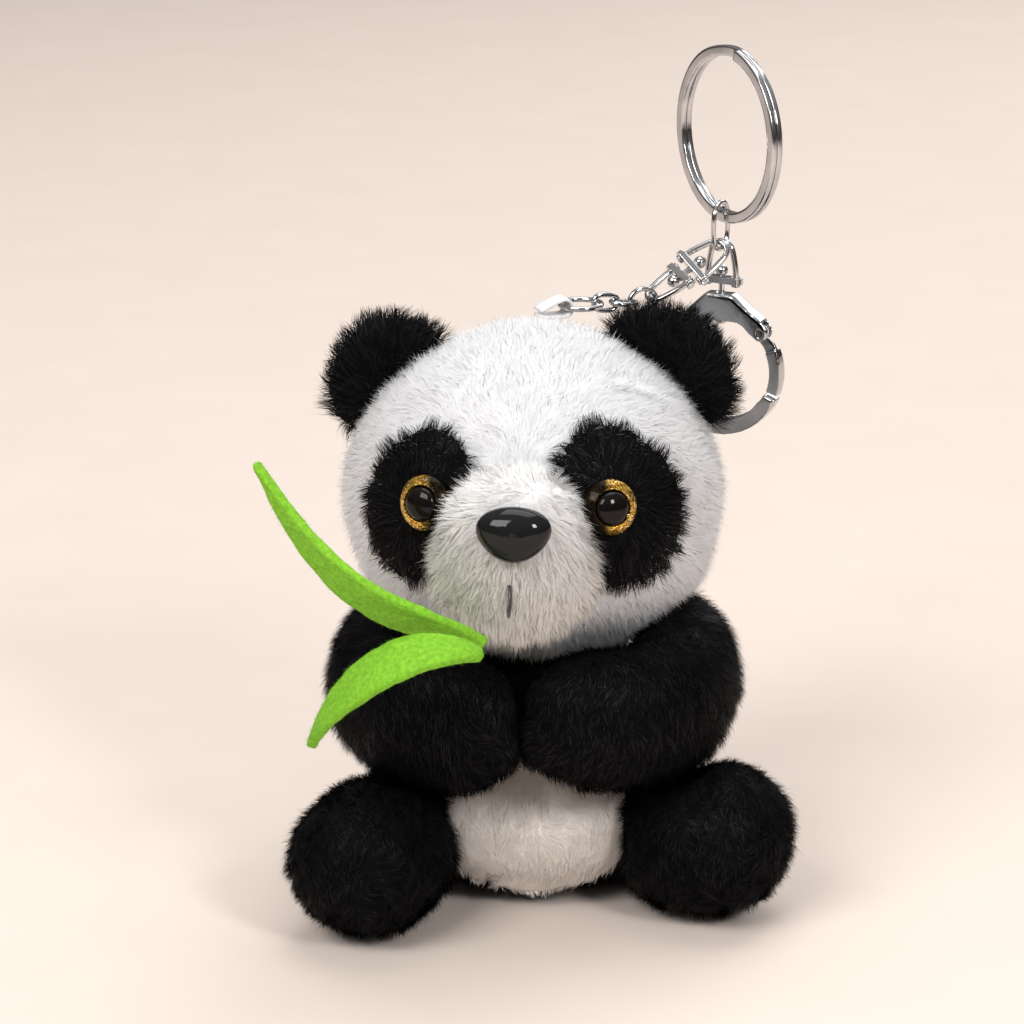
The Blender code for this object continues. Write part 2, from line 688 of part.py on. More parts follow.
def bail_bar(name, place):
    """The flat bar across the bail's feet, with three holes: two for the wire and one for the rivet."""
    bm = bmesh.new()
    bmesh.ops.create_cube(bm, size=1.0)
    length = 2 * BAIL_HALF_WIDTH + 2.3 * MM
    for vertex in bm.verts:
        x, y, z = vertex.co
        vertex.co = Vector((x * length, y * BAR_DEPTH, z * BAR_THICKNESS - BAIL_HEIGHT))
    long_edges = [e for e in bm.edges if abs((e.verts[0].co - e.verts[1].co).z) > BAR_THICKNESS / 2]
    bmesh.ops.bevel(bm, geom=long_edges, offset=0.6 * MM, segments=2, affect="EDGES")
    bar = add_object(bm, name, "chrome", place)
    holes = ((0.0, RIVET_RADIUS + CLEARANCE), (BAIL_HALF_WIDTH, BAIL_WIRE + CLEARANCE),
             (-BAIL_HALF_WIDTH, BAIL_WIRE + CLEARANCE))
    for x, radius in holes:
        guide = cylinder(radius, -BAIL_HEIGHT - 2 * MM, -BAIL_HEIGHT + 2 * MM, 10)
        bmesh.ops.translate(guide, verts=guide.verts, vec=(x, 0, 0))
        cut(bar, add_object(guide, name + "_hole_guide", "chrome", place))


def bead(centre_z, radius, sign):
    """Half the outline of a rivet with a round head, from its pole to the shank."""
    outline = []
    for angle in (80, 55, 28, 0, -28):
        a = math.radians(angle)
        outline.append((radius * math.cos(a), centre_z + sign * radius * math.sin(a)))
    return outline


def bail_frame(origin, down, broad):
    """A bail's frame: local Z up the bail, local X across it."""
    return frame(origin, broad - down * broad.dot(down), -down)


def make_chain():
    """Ribbon to connector: each piece hangs on the wire at its own origin."""
    pull = heading(CHAIN_HEADING, 0)
    start = JUMP_CENTRE - pull * JUMP_RING[0]
    turns = [2 * math.pi * k / 20 for k in range(20)]
    line = [Vector((1 - math.cos(a), math.sin(a), 0)) * JUMP_RING[0] for a in turns]
    up = Vector((0, 0, 1))
    add_object(tube(line, JUMP_RING[1], 6, closed=True), "jump_ring", "chrome", frame(start, pull, up))
    make_ribbon(start, pull)
    along = heading(CHAIN_HEADING, -CHAIN_DIP)
    level = along.cross(up).normalized()
    steep = level.cross(along).normalized()
    here = start + pull * 2 * JUMP_RING[0]
    held = JUMP_RING[1]
    for number, (bend, straight, normal) in enumerate((
        (LINK_BEND, LINK_STRAIGHT, level),
        (LINK_BEND, LINK_STRAIGHT, steep),
        (ROUND_LINK_BEND, 0.0, level),
    ), 1):
        step = loop_link(f"chain_link_{number}", frame(here, along, normal), LINK_WIRE, bend, straight, held)
        here = here + along * step
        held = LINK_WIRE
    round_middle = here - along * ROUND_LINK_BEND
    return round_middle + heading(SWIVEL_HEADING, SWIVEL_RISE) * ROUND_LINK_BEND


def make_ribbon(start, pull):
    """A narrow ribbon, doubled round the jump ring's wire, whose ends go down into the head's seam."""
    inner = JUMP_RING[1] + 0.75 * MM
    apart = 0.45 * MM  # of the ribbon's two ends
    up = Vector((0, 0, 1))
    aside = up.cross(pull) * RIBBON_HALF_WIDTH
    foot = start - pull * 4.0 * MM - up * 0.9 * MM
    layers = []
    for thick in (RIBBON_THICKNESS, 0.0):
        bend = []
        for k in range(7):
            a = math.radians(110 - 220 * k / 6)
            bend.append(start + (pull * math.cos(a) + up * math.sin(a)) * (inner + thick))
        layers.append([foot + up * (apart + thick), *bend, foot - up * thick])
    loop = layers[0] + layers[1][::-1]
    rings = [[p - aside for p in loop], [p + aside for p in loop]]
    add_object(skin(rings), "hang_ribbon", "white_ribbon")


def make_swivel(hung_on):
    """Two bails that turn against each other on one rivet. Returns the upper bail's own wire."""
    along = heading(SWIVEL_HEADING, SWIVEL_RISE)
    level = along.cross(Vector((0, 0, 1))).normalized()
    steep = level.cross(along).normalized()
    lower_top = hung_on - along * hook_up(BAIL_WIRE, LINK_WIRE)
    lower_broad = (level * 0.97 - steep * 0.24).normalized()
    lower = bail_frame(lower_top, along, lower_broad)
    bail_wire("swivel_wire_lower", lower)
    bail_bar("swivel_bar_lower", lower)
    upper_top = lower_top + along * (2 * BAIL_HEIGHT + BAR_SPACING)
    upper_broad = Matrix.Rotation(UPPER_BAIL_ROLL, 3, along) @ along.cross(ALONG_CONNECTOR).normalized()
    upper = bail_frame(upper_top, -along, upper_broad)
    bail_wire("swivel_wire_upper", upper)
    bail_bar("swivel_bar_upper", upper)
    middle = lower_top + along * (BAIL_HEIGHT + BAR_SPACING / 2)
    reach = BAR_SPACING / 2 + BAR_THICKNESS / 2 + CLEARANCE + 0.65 * MM
    shank = [(RIVET_RADIUS, reach - 0.6 * MM), (RIVET_RADIUS, -reach + 0.6 * MM)]
    head_z = reach + 0.05 * MM
    outline = bead(head_z, BEAD_RADIUS, 1) + shank + bead(-head_z, BEAD_RADIUS, -1)[::-1]
    add_object(turned(outline, 10), "swivel_rivet", "chrome", frame(middle, lower_broad, along))
    carry("swivel_lower_axis", hung_on, ("swivel_wire_lower", "swivel_bar_lower", "swivel_rivet"))
    return upper_top


def make_connector(upper_top):
    """The oval link that holds the swivel, the clasp and, at its top, the split ring."""
    up = Vector((0, 0, 1))
    pull = heading(SWIVEL_HEADING, SWIVEL_RISE)
    pull = (pull - ALONG_CONNECTOR * pull.dot(ALONG_CONNECTOR)).normalized()
    held = BAIL_WIRE + 0.1 * MM
    lowest = upper_top - pull * (hook_up(BAIL_WIRE, CONNECTOR_WIRE) + GAP) + ALONG_CONNECTOR * WIRE_APART
    middle = lowest + up * hook_up(CONNECTOR_WIRE, held)
    place = frame(middle, up, ALONG_CONNECTOR.cross(up))
    rise = loop_link("connector_link", place, CONNECTOR_WIRE, CONNECTOR_BEND, CONNECTOR_STRAIGHT, held, 8, 7)
    carry("connector_axis", upper_top, ("connector_link",))
    return middle, middle + up * rise


def make_split_ring(hung_on):
    """Two turns of flat wire side by side, with the sideways step where the two ends meet."""
    wide, deep = RING_WIRE
    level = Vector((0, 0, 1)).cross(RING_NORMAL).normalized()
    lean = Vector((0, 0, 1)) * math.cos(RING_LEAN) + level * math.sin(RING_LEAN)
    centre = hung_on + lean * (RING_RADIUS - wide / 2 - CONNECTOR_WIRE - 2 * GAP)
    place = frame(hung_on, Vector((0, 0, 1)), level)
    inverse = place.inverted()
    half_pitch = (deep + RING_COIL_GAP) / 2
    step_turn = math.radians(26)
    start = math.radians(112)
    steps_each = 36
    total = 4 * math.pi - step_turn - math.radians(6)
    count = int(total / (2 * math.pi) * steps_each)
    rings = []
    for k in range(count + 1):
        turn = total * k / count
        progress = min(1.0, max(0.0, (turn - (2 * math.pi - step_turn)) / step_turn))
        aside = half_pitch * (2 * (progress * progress * (3 - 2 * progress)) - 1)
        angle = start + turn
        out = level * math.cos(angle) + Vector((0, 0, 1)) * math.sin(angle)
        at = centre + out * RING_RADIUS + RING_NORMAL * aside
        w, d = wide / 2, deep / 2
        corners = ((w, d), (-w, d), (-w, -d), (w, -d))
        rings.append([inverse @ (at + out * a + RING_NORMAL * b) for a, b in corners])
    add_object(skin(rings), "split_ring", "chrome", place)
    return centre


def arc_points(radius, first, last, steps, centre=(0.0, 0.0)):
    points = []
    for k in range(steps + 1):
        a = math.radians(first + (last - first) * k / steps)
        points.append((centre[0] + radius * math.cos(a), centre[1] + radius * math.sin(a)))
    return points


def plate(outline, half_thickness, bevel=0.0):
    """A flat solid with this closed outline in local XZ and its faces across local Y."""
    rings = [[Vector((x, y, z)) for x, z in outline] for y in (-half_thickness, half_thickness)]
    bm = skin(rings)
    if bevel:
        rim = [e for e in bm.edges if abs(e.verts[0].co.y - e.verts[1].co.y) < 1e-9]
        bmesh.ops.bevel(bm, geom=rim, offset=bevel, segments=1, affect="EDGES")
    return bm


def make_clasp(hung_on):
    """A round lobster clasp that hangs from the connector and turns below its own bail."""
    down = Vector((0, 0, -1))
    broad = Vector((0, 0, 1)).cross(ALONG_CONNECTOR)
    bail = bail_frame(hung_on, down, broad)
    bail_wire("clasp_wire", bail)
    bail_bar("clasp_bar", bail)
    bar_z = -BAIL_HEIGHT
    neck_top = bar_z - BAR_THICKNESS / 2 - 1.35 * MM
    ring_z = neck_top - 3.0 * MM - CLASP_RADIUS
    plane = frame(hung_on, Matrix.Rotation(CLASP_TURN, 3, "Z") @ Vector((1, 0, 0)), Vector((0, 0, 1)))
    inner, outer = CLASP_RADIUS - CLASP_BAND / 2, CLASP_RADIUS + CLASP_BAND / 2
    tip, pivot = GATE_ANGLES
    neck = 2.3 * MM
    outline = arc_points(outer, tip, -218, 22) + [(-neck, 12.4 * MM), (neck, 12.4 * MM)]
    outline += arc_points(outer + 0.5 * MM, 62, pivot + 2, 3)
    pivot_at = (CLASP_RADIUS * math.cos(math.radians(pivot)), CLASP_RADIUS * math.sin(math.radians(pivot)))
    outline += arc_points(1.45 * MM, 20, -110, 4, pivot_at)
    outline += arc_points(inner, pivot + 10, 75, 3) + arc_points(inner, 105, 360 + tip, 22)
    shape = [(x, z + ring_z) for x, z in outline]
    body = add_object(plate(shape, CLASP_THICKNESS / 2, 0.35 * MM), "clasp_body", "chrome", plane)
    bore = cylinder(RIVET_RADIUS + CLEARANCE, ring_z + inner - 1 * MM, neck_top + 2 * MM, 10)
    cut(body, add_object(bore, "clasp_bore_guide", "chrome", plane))
    head_top = bar_z + BAR_THICKNESS / 2 + CLEARANCE + 0.7 * MM
    seat_z = ring_z + inner * math.sin(math.radians(75)) - CLEARANCE
    foot = [(RIVET_RADIUS, head_top - 0.55 * MM), (RIVET_RADIUS, seat_z), (1.1 * MM, seat_z - 0.05 * MM),
            (1.0 * MM, seat_z - 0.6 * MM), (0.4 * MM, seat_z - 0.75 * MM)]
    shank = bead(head_top, BEAD_RADIUS, 1) + foot
    add_object(turned(shank, 10), "clasp_rivet", "chrome", bail)
    held_at = hung_on + down * hook_up(CONNECTOR_WIRE, BAIL_WIRE + 0.1 * MM)
    carry("clasp_bail_axis", held_at, ("clasp_wire", "clasp_bar", "clasp_rivet"))
    make_gate(plane, ring_z, pivot_at, body)


def make_gate(plane, ring_z, pivot_at, body):
    """The gate closes the clasp's side. Its tail and a two-turn spring sit on a pin in the body's slot."""
    pivot_place = plane @ Matrix.Translation((pivot_at[0], 0, pivot_at[1] + ring_z))
    slot = bmesh.new()
    bmesh.ops.create_cube(slot, size=1.0)
    for vertex in slot.verts:
        x, y, z = vertex.co
        vertex.co = Vector((x * 5.2 * MM + 0.2 * MM, y * 2 * GATE_SLOT_HALF, z * 5.6 * MM - 0.9 * MM))
    cut(body, add_object(slot, "gate_slot_guide", "chrome", pivot_place))
    hole = cylinder(PIN_RADIUS + 0.02 * MM, -3 * MM, 3 * MM, 10)
    sideways = pivot_place @ Matrix.Rotation(math.radians(90), 4, "X")
    cut(body, add_object(hole, "pin_hole_guide", "chrome", sideways))
    add_object(cylinder(PIN_RADIUS - 0.03 * MM, -1.6 * MM, 1.6 * MM, 10), "gate_pin", "chrome", sideways)

    tip, pivot = GATE_ANGLES
    outer, inner = CLASP_RADIUS + CLASP_BAND / 2 - 0.1 * MM, CLASP_RADIUS - CLASP_BAND / 2 + 0.15 * MM
    centre = (-pivot_at[0], -pivot_at[1])
    near, far = pivot - 14, tip + 3
    outline = arc_points(outer, near, far, 7, centre) + arc_points(inner, far, near, 7, centre)
    outline += arc_points(1.1 * MM, 200, -20, 7)
    tongue = [-GATE_SLOT_HALF + 0.2 * MM, -GATE_SLOT_HALF + 0.9 * MM]
    rings = [[Vector((x, y, z)) for x, z in outline] for y in tongue]
    gate = add_object(skin(rings), "clasp_gate", "chrome", pivot_place)
    wide_near = pivot - 20
    wide = arc_points(outer, wide_near, far, 7, centre) + arc_points(inner, far, wide_near, 7, centre)
    thick = add_object(plate(wide, 1.1 * MM), "gate_width_guide", "chrome", pivot_place)
    thick.hide_render = True
    thick.display_type = "WIRE"
    join = gate.modifiers.new("full_width", "BOOLEAN")
    join.operation = "UNION"
    join.solver = "EXACT"
    join.object = thick
    bore = cylinder(PIN_RADIUS + 0.02 * MM, -3 * MM, 3 * MM, 10)
    cut(gate, add_object(bore, "gate_bore_guide", "chrome", sideways))

    turns, radius, wire = 1.6, 0.85 * MM, 0.14 * MM
    start, travel = GATE_SLOT_HALF - 0.25 * MM, 0.38 * MM
    steps = 20
    coil = []
    for k in range(steps + 1):
        a = 2 * math.pi * turns * k / steps
        coil.append(Vector((radius * math.cos(a), start - travel * k / steps, radius * math.sin(a))))
    add_object(tube(coil, wire, 5), "gate_spring", "spring_steel", pivot_place)


def clear_scene():
    for existing in list(bpy.data.objects):
        bpy.data.objects.remove(existing, do_unlink=True)


def build():
    clear_scene()
    make_head()
    make_torso()
    make_belly()
    make_limbs()
    make_muzzle()
    make_eye_patch("eye_patch_left_viewer", -1, 3.2 * MM, 10.9 * MM, 12.8 * MM)
    make_eye_patch("eye_patch_right_viewer", 1, 3.6 * MM, 11.6 * MM, 13.9 * MM)
    make_ear("ear_left_viewer", -1, 11.4 * MM, math.radians(41))
    make_ear("ear_right_viewer", 1, 12.2 * MM, math.radians(44))
    make_eyes()
    make_nose()
    make_mouth()
    make_leaves()
    chain_end = make_chain()
    upper_top = make_swivel(chain_end)
    middle, connector_top = make_connector(upper_top)
    make_split_ring(connector_top)
    make_clasp(middle + ALONG_CONNECTOR * WIRE_APART)


build()
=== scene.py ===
"""The looks of the plush panda keychain: stuffed plush with real pile, felt leaves, glossy eyes
and nose, and bright plated hardware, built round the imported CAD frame."""

import math

import bmesh
import bpy
import numpy as np
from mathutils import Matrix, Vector, kdtree
from mathutils.bvhtree import BVHTree
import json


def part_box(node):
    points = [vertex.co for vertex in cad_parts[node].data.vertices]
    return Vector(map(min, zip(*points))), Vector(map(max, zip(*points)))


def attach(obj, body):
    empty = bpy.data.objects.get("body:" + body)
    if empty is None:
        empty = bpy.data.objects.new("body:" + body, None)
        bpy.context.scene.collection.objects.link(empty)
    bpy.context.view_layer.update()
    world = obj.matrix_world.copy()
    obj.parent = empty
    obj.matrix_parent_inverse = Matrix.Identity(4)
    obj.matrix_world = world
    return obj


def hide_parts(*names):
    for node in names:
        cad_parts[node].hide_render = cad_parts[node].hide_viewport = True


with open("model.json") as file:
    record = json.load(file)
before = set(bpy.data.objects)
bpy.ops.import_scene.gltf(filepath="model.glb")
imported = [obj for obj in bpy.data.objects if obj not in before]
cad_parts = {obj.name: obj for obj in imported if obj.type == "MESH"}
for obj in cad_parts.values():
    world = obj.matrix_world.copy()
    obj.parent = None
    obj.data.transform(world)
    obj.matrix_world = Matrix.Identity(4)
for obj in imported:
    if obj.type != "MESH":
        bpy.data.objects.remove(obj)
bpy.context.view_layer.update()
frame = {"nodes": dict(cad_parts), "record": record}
MM = 0.001
BODY_OF = {n: b for b, nodes in frame["record"]["behaviour"]["bodies"].items() for n in nodes}
SLOT_OF = {s["node"]: s["material_slot"] for s in frame["record"]["subparts"]}
STRANDS_PER_PIECE = 60000


def box(node):
    low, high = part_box(node)
    return np.array(low), np.array(high)


def middle(node):
    low, high = box(node)
    return (low + high) / 2


HEAD = middle("head_skin")
NOSE = middle("nose")
SIDES = ("left_viewer", "right_viewer")
SWELL_PRESSURE = 4.0
SWELL_STEPS = 20
HEAD_PILE_FROM = 41.2 * MM  # the head's pile starts above the neck seam
BODY_PILE_TO = 39.5 * MM  # and the body's ends below it
FLOOR_GAP = 1.2 * MM  # under this height the plush lies on the floor and shows no pile
LOWEST_STRAND = 0.1 * MM


# ---- Camera, light and floor ----


def make_stage():
    target = Vector((-3.3, 0.0, 58.5)) * MM
    elevation, distance = math.radians(17), 0.6
    camera_data = bpy.data.cameras.new("camera")
    camera_data.lens = 135
    camera_data.sensor_width = 36
    camera_data.clip_start = 0.01
    camera = bpy.data.objects.new("camera", camera_data)
    camera.location = target + Vector((0, -math.cos(elevation), math.sin(elevation))) * distance
    camera.rotation_euler = (math.pi / 2 - elevation, 0, 0)
    bpy.context.collection.objects.link(camera)
    bpy.context.scene.camera = camera
    bpy.context.scene.view_settings.view_transform = "Standard"

    def softbox(name, place, aim, size, power, colour=(1, 1, 1)):
        light = bpy.data.lights.new(name, "AREA")
        light.shape = "RECTANGLE"
        light.size, light.size_y = size
        light.energy = power
        light.color = colour
        holder = bpy.data.objects.new(name, light)
        holder.location = place
        holder.rotation_euler = (Vector(aim) - Vector(place)).to_track_quat("-Z", "Y").to_euler()
        bpy.context.collection.objects.link(holder)

    softbox("key_light", (-0.55, -0.75, 0.85), (0, 0, 0.06), (0.7, 0.5), 9.6, (1, 0.985, 0.97))
    softbox("window_light", (0.42, -0.62, 0.5), (0, 0, 0.06), (0.16, 0.2), 3.0)
    softbox("top_light", (0.1, 0.25, 1.1), (0, 0, 0.05), (0.8, 0.8), 5.5)
    softbox("back_fill", (0.45, 0.85, 0.6), (0, 0, 0.06), (0.6, 0.5), 2.5)

    world = bpy.data.worlds.new("studio")
    bpy.context.scene.world = world
    world.use_nodes = True
    tree = world.node_tree
    coords = tree.nodes.new("ShaderNodeTexCoord")
    split = tree.nodes.new("ShaderNodeSeparateXYZ")
    ramp = tree.nodes.new("ShaderNodeValToRGB")
    tree.links.new(coords.outputs["Generated"], split.inputs[0])
    tree.links.new(split.outputs["Z"], ramp.inputs["Fac"])
    ramp.color_ramp.elements[0].position = 0.0
    ramp.color_ramp.elements[0].color = (0.10, 0.085, 0.075, 1)
    ramp.color_ramp.elements[1].position = 0.9
    ramp.color_ramp.elements[1].color = (0.95, 0.93, 0.92, 1)
    tree.links.new(ramp.outputs["Color"], tree.nodes["Background"].inputs["Color"])
    tree.nodes["Background"].inputs["Strength"].default_value = 0.5

    bm = bmesh.new()
    bmesh.ops.create_circle(bm, cap_ends=True, segments=96, radius=4.0)
    mesh = bpy.data.meshes.new("floor")
    bm.to_mesh(mesh)
    bm.free()
    floor = bpy.data.objects.new("floor", mesh)
    bpy.context.collection.objects.link(floor)
    mesh.materials.append(make_material("floor_paper", (0.76, 0.655, 0.585), (0.78, 0.675, 0.605), 0.9, 40,
                                        bump=0.02))


# ---- Materials ----


def make_material(name, dark, light, rough, size, rough_range=0.1, bump=0.1, bump_size=None, metallic=0.0,
                  detail=4.0, **sockets):
    """A procedural finish: noise of the given size (1/m) mixes two shades and shifts the roughness."""
    made = bpy.data.materials.new(name)
    made.use_nodes = True
    tree = made.node_tree
    shader = tree.nodes["Principled BSDF"]
    coords = tree.nodes.new("ShaderNodeTexCoord")

    def noise(scale, depth=detail):
        node = tree.nodes.new("ShaderNodeTexNoise")
        node.inputs["Scale"].default_value = scale
        node.inputs["Detail"].default_value = depth
        tree.links.new(coords.outputs["Object"], node.inputs["Vector"])
        return node

    tone = noise(size)
    ramp = tree.nodes.new("ShaderNodeValToRGB")
    ramp.color_ramp.elements[0].position = 0.3
    ramp.color_ramp.elements[1].position = 0.7
    ramp.color_ramp.elements[0].color = (*dark, 1)
    ramp.color_ramp.elements[1].color = (*light, 1)
    tree.links.new(tone.outputs["Fac"], ramp.inputs["Fac"])
    tree.links.new(ramp.outputs["Color"], shader.inputs["Base Color"])
    span = tree.nodes.new("ShaderNodeMapRange")
    span.inputs["To Min"].default_value = max(0.02, rough - rough_range)
    span.inputs["To Max"].default_value = min(1.0, rough + rough_range)
    tree.links.new(noise(size * 2.3).outputs["Fac"], span.inputs["Value"])
    tree.links.new(span.outputs["Result"], shader.inputs["Roughness"])
    if bump:
        relief = tree.nodes.new("ShaderNodeBump")
        relief.inputs["Strength"].default_value = bump
        relief.inputs["Distance"].default_value = 0.0003
        tree.links.new(noise(bump_size or size * 3).outputs["Fac"], relief.inputs["Height"])
        tree.links.new(relief.outputs["Normal"], shader.inputs["Normal"])
    shader.inputs["Metallic"].default_value = metallic
    for socket, value in sockets.items():
        shader.inputs[socket.replace("_", " ")].default_value = value
    return made


def fibre_material(name, colour, rough, **sockets):
    """One shade of pile: the shades are mixed strand by strand, and noise shifts the roughness."""
    made = bpy.data.materials.new(name)
    made.use_nodes = True
    tree = made.node_tree
    shader = tree.nodes["Principled BSDF"]
    shader.inputs["Base Color"].default_value = (*colour, 1)
    coords = tree.nodes.new("ShaderNodeTexCoord")
    node = tree.nodes.new("ShaderNodeTexNoise")
    node.inputs["Scale"].default_value = 300
    span = tree.nodes.new("ShaderNodeMapRange")
    span.inputs["To Min"].default_value = rough - 0.12
    span.inputs["To Max"].default_value = rough + 0.12
    tree.links.new(coords.outputs["Object"], node.inputs["Vector"])
    tree.links.new(node.outputs["Fac"], span.inputs["Value"])
    tree.links.new(span.outputs["Result"], shader.inputs["Roughness"])
    for socket, value in sockets.items():
        shader.inputs[socket.replace("_", " ")].default_value = value
    return made


def make_glitter(node):
    """Flakes of random brightness and tilt under a clear coat. On the side of the eye towards the
    nose their colour fades to near black: painted shade."""
    made = bpy.data.materials.new("gold_flakes_" + node)
    made.use_nodes = True
    tree = made.node_tree
    shader = tree.nodes["Principled BSDF"]
    coords = tree.nodes.new("ShaderNodeTexCoord")
    cells = tree.nodes.new("ShaderNodeTexVoronoi")
    cells.inputs["Scale"].default_value = 4200
    tree.links.new(coords.outputs["Object"], cells.inputs["Vector"])
    split = tree.nodes.new("ShaderNodeSeparateColor")
    tree.links.new(cells.outputs["Color"], split.inputs[0])
    ramp = tree.nodes.new("ShaderNodeValToRGB")
    stops = ((0.0, (0.10, 0.035, 0.004)), (0.35, (0.42, 0.19, 0.015)), (0.62, (0.78, 0.42, 0.04)),
             (0.85, (1.0, 0.72, 0.16)), (1.0, (1.0, 0.95, 0.55)))
    ramp.color_ramp.elements[0].color = (*stops[0][1], 1)
    ramp.color_ramp.elements[1].color = (*stops[-1][1], 1)
    for position, colour in stops[1:-1]:
        ramp.color_ramp.elements.new(position).color = (*colour, 1)
    tree.links.new(split.outputs[0], ramp.inputs["Fac"])
    eye = middle(node)
    outward = math.copysign(1.0, eye[0] - NOSE[0])
    across = tree.nodes.new("ShaderNodeSeparateXYZ")
    tree.links.new(coords.outputs["Object"], across.inputs[0])
    # painted shade: this ramp darkens the flakes towards the nose side of the eye
    depth = tree.nodes.new("ShaderNodeMapRange")
    depth.interpolation_type = "SMOOTHSTEP"
    depth.inputs["From Min"].default_value = eye[0] - outward * 0.9 * MM
    depth.inputs["From Max"].default_value = eye[0] + outward * 1.0 * MM
    depth.inputs["To Min"].default_value = 0.015
    tree.links.new(across.outputs["X"], depth.inputs["Value"])
    # mixes the flakes' colour with a near-black painted shade colour on the nose side
    shaded = tree.nodes.new("ShaderNodeMix")
    shaded.data_type = "RGBA"
    shaded.inputs[6].default_value = (0.004, 0.003, 0.003, 1)
    tree.links.new(depth.outputs["Result"], shaded.inputs[0])
    tree.links.new(ramp.outputs["Color"], shaded.inputs[7])
    tree.links.new(shaded.outputs[2], shader.inputs["Base Color"])
    relief = tree.nodes.new("ShaderNodeBump")
    relief.inputs["Strength"].default_value = 1.0
    relief.inputs["Distance"].default_value = 0.0004
    tree.links.new(split.outputs[1], relief.inputs["Height"])
    tree.links.new(relief.outputs["Normal"], shader.inputs["Normal"])
    span = tree.nodes.new("ShaderNodeMapRange")
    span.inputs["To Min"].default_value = 0.12
    span.inputs["To Max"].default_value = 0.45
    tree.links.new(split.outputs[2], span.inputs["Value"])
    tree.links.new(span.outputs["Result"], shader.inputs["Roughness"])
    shader.inputs["Metallic"].default_value = 0.9
    shader.inputs["Specular IOR Level"].default_value = 0.1
    shader.inputs["Coat Weight"].default_value = 0.1
    shader.inputs["Coat Roughness"].default_value = 0.05
    return made


MATERIALS = {
    "white_plush": make_material("white_plush_backing", (0.78, 0.78, 0.79), (0.84, 0.84, 0.85), 0.95, 500,
                                 bump=0.3, bump_size=2500, Sheen_Weight=0.3),
    "cream_plush": make_material("cream_plush_backing", (0.72, 0.67, 0.62), (0.82, 0.77, 0.72), 0.95, 500,
                                 bump=0.3, bump_size=2500, Sheen_Weight=0.3),
    "black_plush": make_material("black_plush_backing", (0.001, 0.001, 0.0015), (0.003, 0.003, 0.004), 0.9,
                                 500, bump=0.6, bump_size=2500, Specular_IOR_Level=0.1),
    "fibre_filling": make_material("loose_fibre_filling", (0.75, 0.75, 0.73), (0.88, 0.88, 0.87), 0.95, 700,
                                   bump=0.8),
    "green_felt": make_material("lime_felt", (0.15, 0.40, 0.012), (0.26, 0.60, 0.03), 0.95, 1500, bump=0.7,
                                bump_size=3600, detail=8.0),
    "white_ribbon": make_material("white_woven_ribbon", (0.78, 0.78, 0.78), (0.88, 0.88, 0.88), 0.6, 1500,
                                  bump=0.5, bump_size=4000),
    "gloss_black": make_material("polished_black_plastic", (0.006, 0.006, 0.007), (0.010, 0.010, 0.011), 0.06,
                                 120, rough_range=0.03, bump=0.01, Specular_IOR_Level=0.26),
    "gold_glitter": make_glitter("glitter_ring_left_viewer"),
    "dark_thread": make_material("dark_sewing_thread", (0.03, 0.028, 0.028), (0.09, 0.08, 0.08), 0.8, 3000,
                                 bump=0.8, bump_size=6000),
    "clear_nylon": make_material("clear_nylon_moulding", (0.75, 0.75, 0.72), (0.82, 0.82, 0.80), 0.35, 200),
    "chrome": make_material("bright_plating", (0.44, 0.44, 0.45), (0.60, 0.60, 0.61), 0.12, 260,
                            rough_range=0.06, bump=0.05, bump_size=1200, metallic=1.0),
    "spring_steel": make_material("drawn_spring_wire", (0.45, 0.45, 0.46), (0.62, 0.62, 0.63), 0.28, 800,
                                  metallic=1.0),
}
BROWN_EYE = make_material("dark_brown_eye_plastic", (0.004, 0.003, 0.003), (0.006, 0.004, 0.004), 0.05, 120,
                          rough_range=0.02, bump=0.01, Specular_IOR_Level=0.2)
WHITE_PILE = [fibre_material("white_pile_a", (0.88, 0.88, 0.89), 0.75, Sheen_Weight=0.2),
              fibre_material("white_pile_b", (0.81, 0.81, 0.825), 0.75, Sheen_Weight=0.2),
              fibre_material("white_pile_c", (0.73, 0.73, 0.745), 0.75, Sheen_Weight=0.2)]
MUZZLE_PILE = [fibre_material("muzzle_pile_a", (0.90, 0.89, 0.885), 0.7, Sheen_Weight=0.2),
               fibre_material("muzzle_pile_b", (0.84, 0.82, 0.80), 0.7, Sheen_Weight=0.2),
               fibre_material("muzzle_pile_c", (0.74, 0.71, 0.68), 0.7, Sheen_Weight=0.2)]
CREAM_PILE = [fibre_material("cream_pile_a", (0.84, 0.79, 0.75), 0.75, Sheen_Weight=0.2),
              fibre_material("cream_pile_b", (0.78, 0.73, 0.68), 0.75, Sheen_Weight=0.2),
              fibre_material("cream_pile_c", (0.70, 0.64, 0.59), 0.75, Sheen_Weight=0.2)]
BLACK_PILE = [fibre_material("black_pile_a", (0.0008, 0.0008, 0.0010), 0.6, Specular_IOR_Level=0.06),
              fibre_material("black_pile_b", (0.0018, 0.0018, 0.0022), 0.55, Specular_IOR_Level=0.10),
              fibre_material("black_pile_c", (0.0070, 0.0070, 0.0085), 0.45, Specular_IOR_Level=0.20)]
FELT_FUZZ = [fibre_material("felt_fuzz_a", (0.17, 0.45, 0.015), 0.8),
             fibre_material("felt_fuzz_b", (0.25, 0.58, 0.03), 0.8),
             fibre_material("felt_fuzz_c", (0.40, 0.72, 0.10), 0.8)]


# ---- Mesh helpers ----


